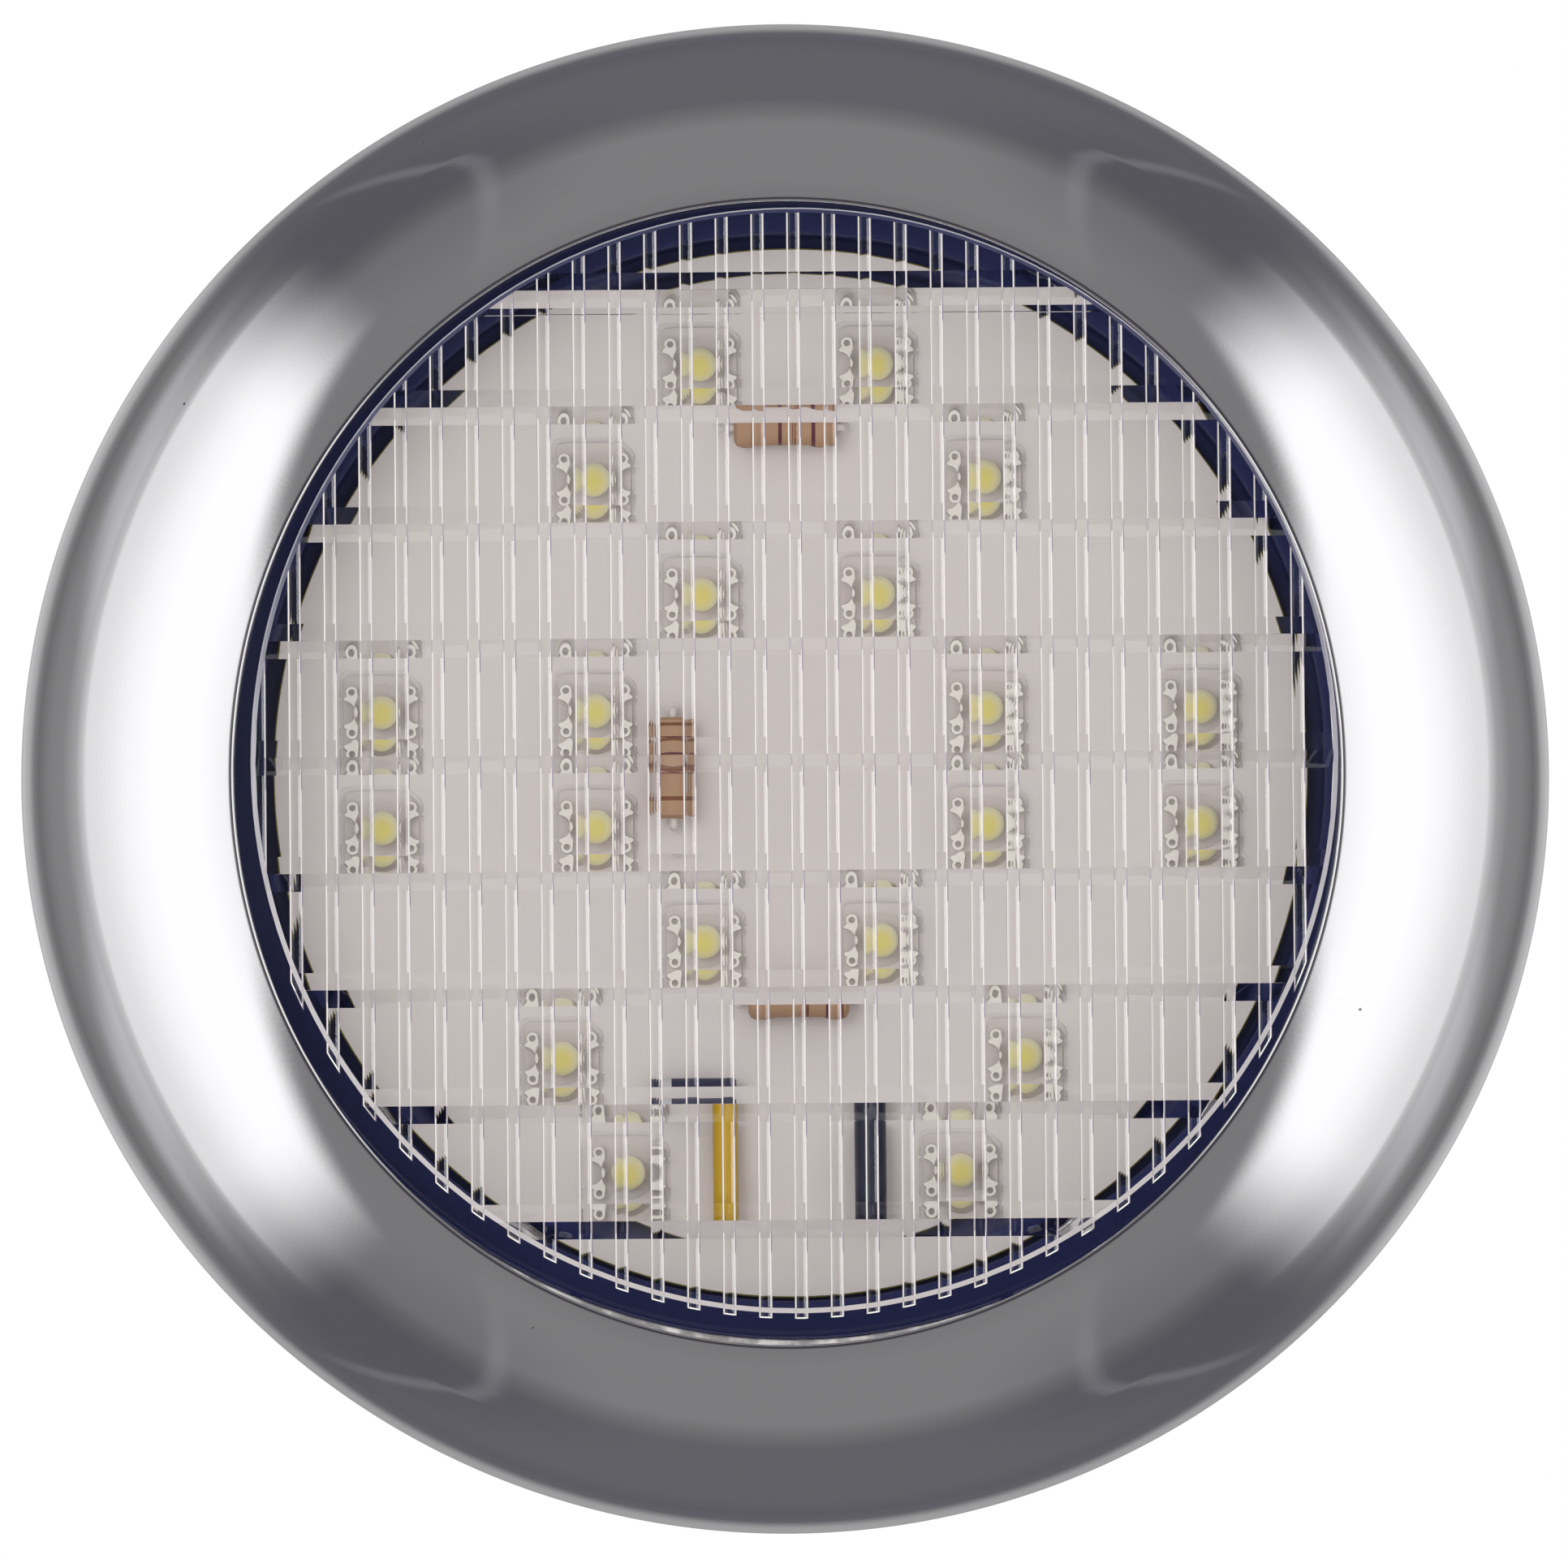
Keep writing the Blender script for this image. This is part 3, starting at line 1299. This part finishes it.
def contact_pin(name, node):
    start, tip = depths(node)
    radius, collar = 2.3, half_width(node)
    outline = [
        (0.0, start),
        (radius - 0.3, start),
        (radius, start + 0.3),
        (radius, 16.2),
        (collar, 16.2),
        (collar, 17.5),
        (radius, 17.5),
        (radius, 24.2),
        (radius - 0.22, 24.5),
        (radius - 0.22, 25.3),
        (radius, 25.6),
        (radius, tip - 1.6),
    ]
    outline = rounded(outline, 0.15, 3, closed=False)
    steps = 10
    for i in range(1, steps + 1):
        t = math.radians(90 * i / steps)
        outline.append((radius * math.cos(t), tip - 1.6 + 1.6 * math.sin(t)))
    x, z = from_lamp_axis(node)
    pin = build(name, *moved(revolve(outline, 64, closed=False), x=x, z=z), materials=[BRASS])
    ready(pin, "lamp_unit", "plated_brass", node)


def board_lead(name, node, pin_node, colour, slot):
    hole_x, radius = LEADS[node]
    pin_x = from_lamp_axis(pin_node)[0]
    start = depths(pin_node)[0]
    laid = BOARD_FRONT - 0.3 - radius
    knots = [
        (pin_x, start - 0.3, 0),
        (pin_x, 10.2, 0),
        (pin_x, 7.6, -3.4),
        ((pin_x + hole_x) / 2, 7.0, -20),
        (hole_x, 7.2, -37),
        (hole_x, 5.4, -40.9),
        (hole_x, BOARD_BACK, LEAD_HOLE_Z),
        (hole_x, BOARD_FRONT, LEAD_HOLE_Z),
        (hole_x, laid - 1.1, LEAD_HOLE_Z + 1.9),
        (hole_x, laid - 0.5, LEAD_HOLE_Z + 4.6),
        (hole_x, laid, -32.5),
    ]
    lead = build(name, *loft(sweep(smooth_path(knots, 12), radius, 24)), materials=[colour])
    ready(lead, "lamp_unit", slot, node)


contact_pin("contact_power", "pin_power")
contact_pin("contact_ground", "pin_ground")
board_lead("yellow_lead", "lead_power", "pin_power", YELLOW, "insulation_yellow")
board_lead("black_lead", "lead_ground", "pin_ground", BLACK, "insulation_black")

# ---- plug, terminals and harness wires ----

PLUG_FRONT, PLUG_BACK = depths("plug_body")
PLUG = {
    "shoulder": 32.4,
    "back": 44.0,
    "boss": 3.0,
    "fit": 0.5,
    "bore": 3.6,
    "bore_end": 35.0,
    "wire_hole": 1.6,
    "grips": 4,
}


def plug():
    s, p = SOCKET, PLUG
    trimmed = 2 * (s["wall"] + p["fit"])
    loops = [
        socket_loop(trimmed + 1.0, s["wall"] + 0.4, PLUG_FRONT),
        socket_loop(trimmed, s["wall"], PLUG_FRONT + 0.6),
        socket_loop(trimmed, s["wall"], p["shoulder"]),
        socket_loop(0.8, 0, p["shoulder"]),
        socket_loop(0, 0, p["shoulder"] + 0.5),
    ]
    pitch = (p["back"] - p["shoulder"] - 4.5) / p["grips"]
    groove = [(0, 0, 0), (1.1, 0.4, 0.35), (1.1, 0.4, pitch * 0.5), (0, 0, pitch * 0.5 + 0.35)]
    for i in range(p["grips"]):
        y = p["shoulder"] + 2.4 + i * pitch
        loops += [socket_loop(shrink, tighten, y + further) for shrink, tighten, further in groove]
    loops.append(socket_loop(0, 0, p["back"] - 1.2))
    loops.append(socket_loop(0.8, 0.3, p["back"] - 0.35))
    loops.append(socket_loop(2.4, 0.9, p["back"]))
    body = build("plug_moulding", *loft(loops), materials=[PLUG_RUBBER])
    boss = [
        (0.0, p["back"] - 1),
        (p["boss"] + 0.5, p["back"] - 1),
        (p["boss"] + 0.5, p["back"]),
        (p["boss"], p["back"] + 0.8),
        (p["boss"] - 0.35, PLUG_BACK - 0.5),
        (p["boss"] - 0.9, PLUG_BACK),
        (0.0, PLUG_BACK),
    ]
    bore = [
        (0.0, PLUG_FRONT - 1),
        (p["bore"], PLUG_FRONT - 1),
        (p["bore"], p["bore_end"]),
        (p["wire_hole"], p["bore_end"]),
        (p["wire_hole"], PLUG_BACK + 1),
        (0.0, PLUG_BACK + 1),
    ]
    for x in (-PIN_X, PIN_X):
        boolean(body, build("boss", *moved(revolve(boss, 56, closed=False), x=x)), "UNION")
        drill(body, revolve(bore, 56, closed=False), x)
    slot_w, slot_h = KEY["width"] + 2 * p["fit"], KEY["height"] + 2 * p["fit"]
    slot = [rounded_rectangle(slot_w, 2 * slot_h, 0.3, y, 3) for y in (PLUG_FRONT - 1, p["shoulder"])]
    drill(body, loft(slot), z=(s["height"] - trimmed) / 2)
    ready(body, "plug", "plug_rubber", "plug_body")


def terminal(name, node):
    start, end = depths(node)
    outer = half_width(node)
    outline = [
        (0.0, 31.0),
        (2.5, 31.0),
        (2.5, start + 0.4),
        (2.75, start),
        (outer - 0.15, start),
        (outer, start + 0.2),
        (outer, 29.5),
        (outer - 0.5, 30.2),
        (outer - 0.5, 31.4),
        (1.7, 32.6),
        (1.3, end),
        (0.0, end),
    ]
    x, z = from_lamp_axis(node)
    turned = revolve(rounded(outline, 0.12, 3, closed=False), 56, closed=False)
    sleeve = build(name, *moved(turned, x=x, z=z), materials=[BRASS])
    ready(sleeve, "plug", "plated_brass", node)


WIRE_RADIUS = 1.3
WIRE_END = (4.4, 62.0, -37.0)


def harness_wire(name, node, side, colour, slot):
    bend = 66.7 - WIRE_RADIUS
    knots = [
        (side * PIN_X, 35.3, 0),
        (side * PIN_X, 43.6, 0),
        (side * PIN_X, 52.0, 0),
        (side * 5.9, 60.2, -3.4),
        (side * 5.2, bend, -14),
        (side * 4.6, 64.0, -26),
        (side * WIRE_END[0], WIRE_END[1], WIRE_END[2]),
    ]
    wire = build(name, *loft(sweep(smooth_path(knots, 14), WIRE_RADIUS, 28)), materials=[colour])
    ready(wire, "plug", slot, node)


def stripped_core(name, node, side):
    """Seven strands of bare copper, six of them twisted round the middle one."""
    start = Vector((side * WIRE_END[0], WIRE_END[1] + 0.1, WIRE_END[2] + 0.6))
    run = Vector((-side * 0.105, -1.26, -8.4))
    across = run.orthogonal().normalized()
    other = run.normalized().cross(across)
    strands = []
    for strand in range(7):
        path = []
        steps = 28
        for i in range(steps + 1):
            t = i / steps
            place = start + run * t
            if strand:
                angle = 2 * math.pi * (strand / 6 + 0.8 * t)
                spread = 0.45 * (1 + 0.12 * t * t)
                place = place + (across * math.cos(angle) + other * math.sin(angle)) * spread
            path.append(place)
        strands.append(loft(sweep(path, 0.22, 10)))
    core = build(name, *merge(*strands), materials=[COPPER])
    ready(core, "plug", "bare_copper", node)


plug()
terminal("socket_power", "terminal_power")
terminal("socket_ground", "terminal_ground")
harness_wire("black_wire", "wire_power", -1, HARNESS_BLACK, "insulation_black")
harness_wire("white_wire", "wire_ground", 1, WHITE, "insulation_white")
stripped_core("bare_end_power", "wire_core_power", -1)
stripped_core("bare_end_ground", "wire_core_ground", 1)

# ---- studio ----


VIEW_LEFT, VIEW_BELOW, VIEW_ROLL = 0.8, 2.2, -0.47  # degrees
VIEW = Vector((
    -math.sin(math.radians(VIEW_LEFT)) * math.cos(math.radians(VIEW_BELOW)),
    -math.cos(math.radians(VIEW_LEFT)) * math.cos(math.radians(VIEW_BELOW)),
    -math.sin(math.radians(VIEW_BELOW)),
))  # from the lamp to the camera


def grey(value):
    """A screen grey: neutral when light, and slate when dark."""
    blue = 5 * max(0.0, min(1.0, (108 - value) / 12)) if value > 20 else 0
    return srgb(value, value - 1, value + blue)


def studio_surroundings(g):
    """What shiny surfaces see: bright left and right, dim above and below, and a light rim behind.

    A mirror shows the camera whatever lies along its reflection, so halfway between a direction and the
    camera is the way the mirror faces. The surroundings are drawn by that facing: by its tilt away from the
    lamp's front and by its angle round the lamp's axis, both in degrees.
    """
    direction = g.add("TexCoord").outputs["Generated"]
    halfway = g.add("VectorMath", {0: direction, 1: VIEW}, operation="ADD").outputs[0]
    facing = g.add("VectorMath", {0: halfway}, operation="NORMALIZE").outputs[0]
    x, y, z = g.split(facing)
    tilt = g.times(g.math("ARCCOSINE", g.times(y, -1.0)), math.degrees(1.0))
    across, up = g.math("ABSOLUTE", x), g.math("ABSOLUTE", z)
    angle = g.times(g.math("ARCTAN2", up, across), math.degrees(1.0))
    share = g.math("DIVIDE", tilt, 90.0)

    # the greys seen at some tilts, as (degrees, screen value)
    sides = [(0, 60), (4, 110), (5.5, 225), (6.5, 244), (9, 251), (11, 255), (19, 255), (23, 247), (26, 235),
             (29, 224), (34, 218), (39, 160), (45, 132), (52, 127), (60, 108), (64, 125), (68, 165),
             (85, 215)]
    ends = [(0, 40), (4, 70), (6, 118), (11, 125), (23, 125), (25.5, 112), (28.5, 98), (52, 98), (61, 93),
            (67, 98), (73, 155), (85, 168)]
    side_light = g.ramp(share, [(t / 90, grey(v)) for t, v in sides])
    end_light = g.ramp(share, [(t / 90, grey(v)) for t, v in ends])

    ridge = g.times(g.smooth(tilt, 36.0, 41.0), g.smooth(tilt, 54.0, 46.0))
    off_ridge = g.math("ABSOLUTE", g.minus(angle, g.math("MULTIPLY_ADD", tilt, 0.9, -14.0)))
    ridge = g.times(ridge, g.smooth(off_ridge, 17.0, 2.0))
    side_light = g.mix(g.times(ridge, 0.32), side_light, srgb(235, 235, 238))

    reach = g.math("MULTIPLY_ADD", g.smooth(tilt, 5.0, 16.0), 21.4, 20.0)
    lit = g.smooth(g.minus(reach, angle), -7.5, 7.5)

    before = g.math("MAXIMUM", g.minus(30.0, tilt), 0.0)
    after = g.math("MAXIMUM", g.minus(tilt, 30.0), 0.0)
    bend = g.math("ADD", g.times(g.times(before, before), 0.014), g.times(after, 0.4))
    past_leaf = g.minus(g.math("ADD", angle, bend), 62.3)
    depth = g.times(g.smooth(tilt, 8.0, 27.0), g.smooth(tilt, 66.0, 45.0))
    shade = g.times(g.smooth(past_leaf, 16.0, -2.0), depth)
    leaf = g.times(g.smooth(past_leaf, 0.8, -0.8), g.smooth(tilt, 7.0, 10.0))
    leaf = g.times(leaf, g.smooth(tilt, 60.0, 50.0))
    off_rim = g.math("ABSOLUTE", g.minus(past_leaf, 1.2))
    rim = g.times(g.smooth(off_rim, 1.6, 0.2), depth)
    dim = g.mix(g.times(shade, 0.22), end_light, srgb(40, 40, 50))
    dim = g.mix(g.times(leaf, 0.1), dim, srgb(60, 60, 72))
    dim = g.mix(g.times(rim, 0.14), dim, srgb(190, 190, 195))
    return g.mix(lit, dim, side_light)


def studio():
    scene = bpy.context.scene
    world = bpy.data.worlds.new("studio")
    scene.world = world
    world.use_nodes = True
    world.cycles.sampling_method = "NONE"
    g = Graph(world.node_tree)
    rays = g.add("LightPath")
    shiny = g.add("Background", {0: studio_surroundings(g), 1: 1.0})
    soft = g.add("Background", {0: srgb(252, 251, 250), 1: 0.86})
    paper = g.add("Background", {0: (1, 1, 1, 1), 1: 1.0})
    diffuse = g.mix_shader(rays.outputs["Is Diffuse Ray"], shiny.outputs[0], soft.outputs[0])
    seen = g.mix_shader(rays.outputs["Is Camera Ray"], diffuse, paper.outputs[0])
    g.add("OutputWorld", {0: seen})

    for name, place, size, power in (
        ("key_light", (-0.45, -1.1, 0.15), 0.5, 3.0),
        ("back_light", (0.7, 0.9, 0.9), 0.8, 6.0),
    ):
        lamp = bpy.data.lights.new(name, "AREA")
        lamp.size = size
        lamp.energy = power
        holder = bpy.data.objects.new(name, lamp)
        scene.collection.objects.link(holder)
        holder.location = place
        holder.rotation_euler = (-Vector(place)).to_track_quat("-Z", "Y").to_euler()
        holder.visible_glossy = False


def floor():
    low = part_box("trim_ring")[0].z
    sides, radius = 96, 2500.0
    points = [(x, z, 0.0) for x, _, z in circle_loop(radius, 0.0, sides)]
    made, g = material("studio_floor")
    pale = g.mix(g.noise(6.0, 2.0), srgb(243, 243, 243), srgb(247, 247, 246))
    matte = g.add("BsdfDiffuse", {"Color": pale})
    paper = g.add("Emission", {"Color": (1, 1, 1, 1), "Strength": 1.0})
    far = g.length(g.place())
    grazing = g.add("LayerWeight", {"Blend": 0.5}).outputs["Facing"]
    blank = g.math("MAXIMUM", g.smooth(far, 0.25, 0.9), g.smooth(grazing, 0.93, 0.985))
    g.surface(g.mix_shader(blank, matte.outputs[0], paper.outputs[0]))
    sheet = build("studio_floor", points, [tuple(range(sides))], Vector((0, 0, low - 0.0004)), 35, [made])
    sheet.visible_glossy = False


def camera():
    """Long lens, a little below and left of the ring's axis, and turned slightly."""
    distance = 1.4
    frame_width = 144.18 * MM  # what the picture's width covers at the ring's outer edge
    view = bpy.data.cameras.new("camera")
    view.sensor_width = 36.0
    view.lens = 36.0 * distance / frame_width
    view.clip_end = 20.0
    holder = bpy.data.objects.new("camera", view)
    bpy.context.scene.collection.objects.link(holder)
    target = Vector((RING_AXIS.x - 0.15 * MM, PANEL_Y + RING_EDGE * MM, RING_AXIS.z - 0.17 * MM))
    look = (-VIEW).to_track_quat("-Z", "Y").to_matrix().to_4x4()
    turn = Matrix.Rotation(math.radians(VIEW_ROLL), 4, "Z")
    holder.matrix_world = Matrix.Translation(target + VIEW * distance) @ look @ turn
    bpy.context.scene.camera = holder


studio()
floor()
camera()
bpy.context.scene.view_settings.view_transform = "Standard"
bpy.context.scene.cycles.transparent_max_bounces = 24
bpy.context.scene.cycles.max_bounces = 14
bpy.context.scene.cycles.transmission_bounces = 14
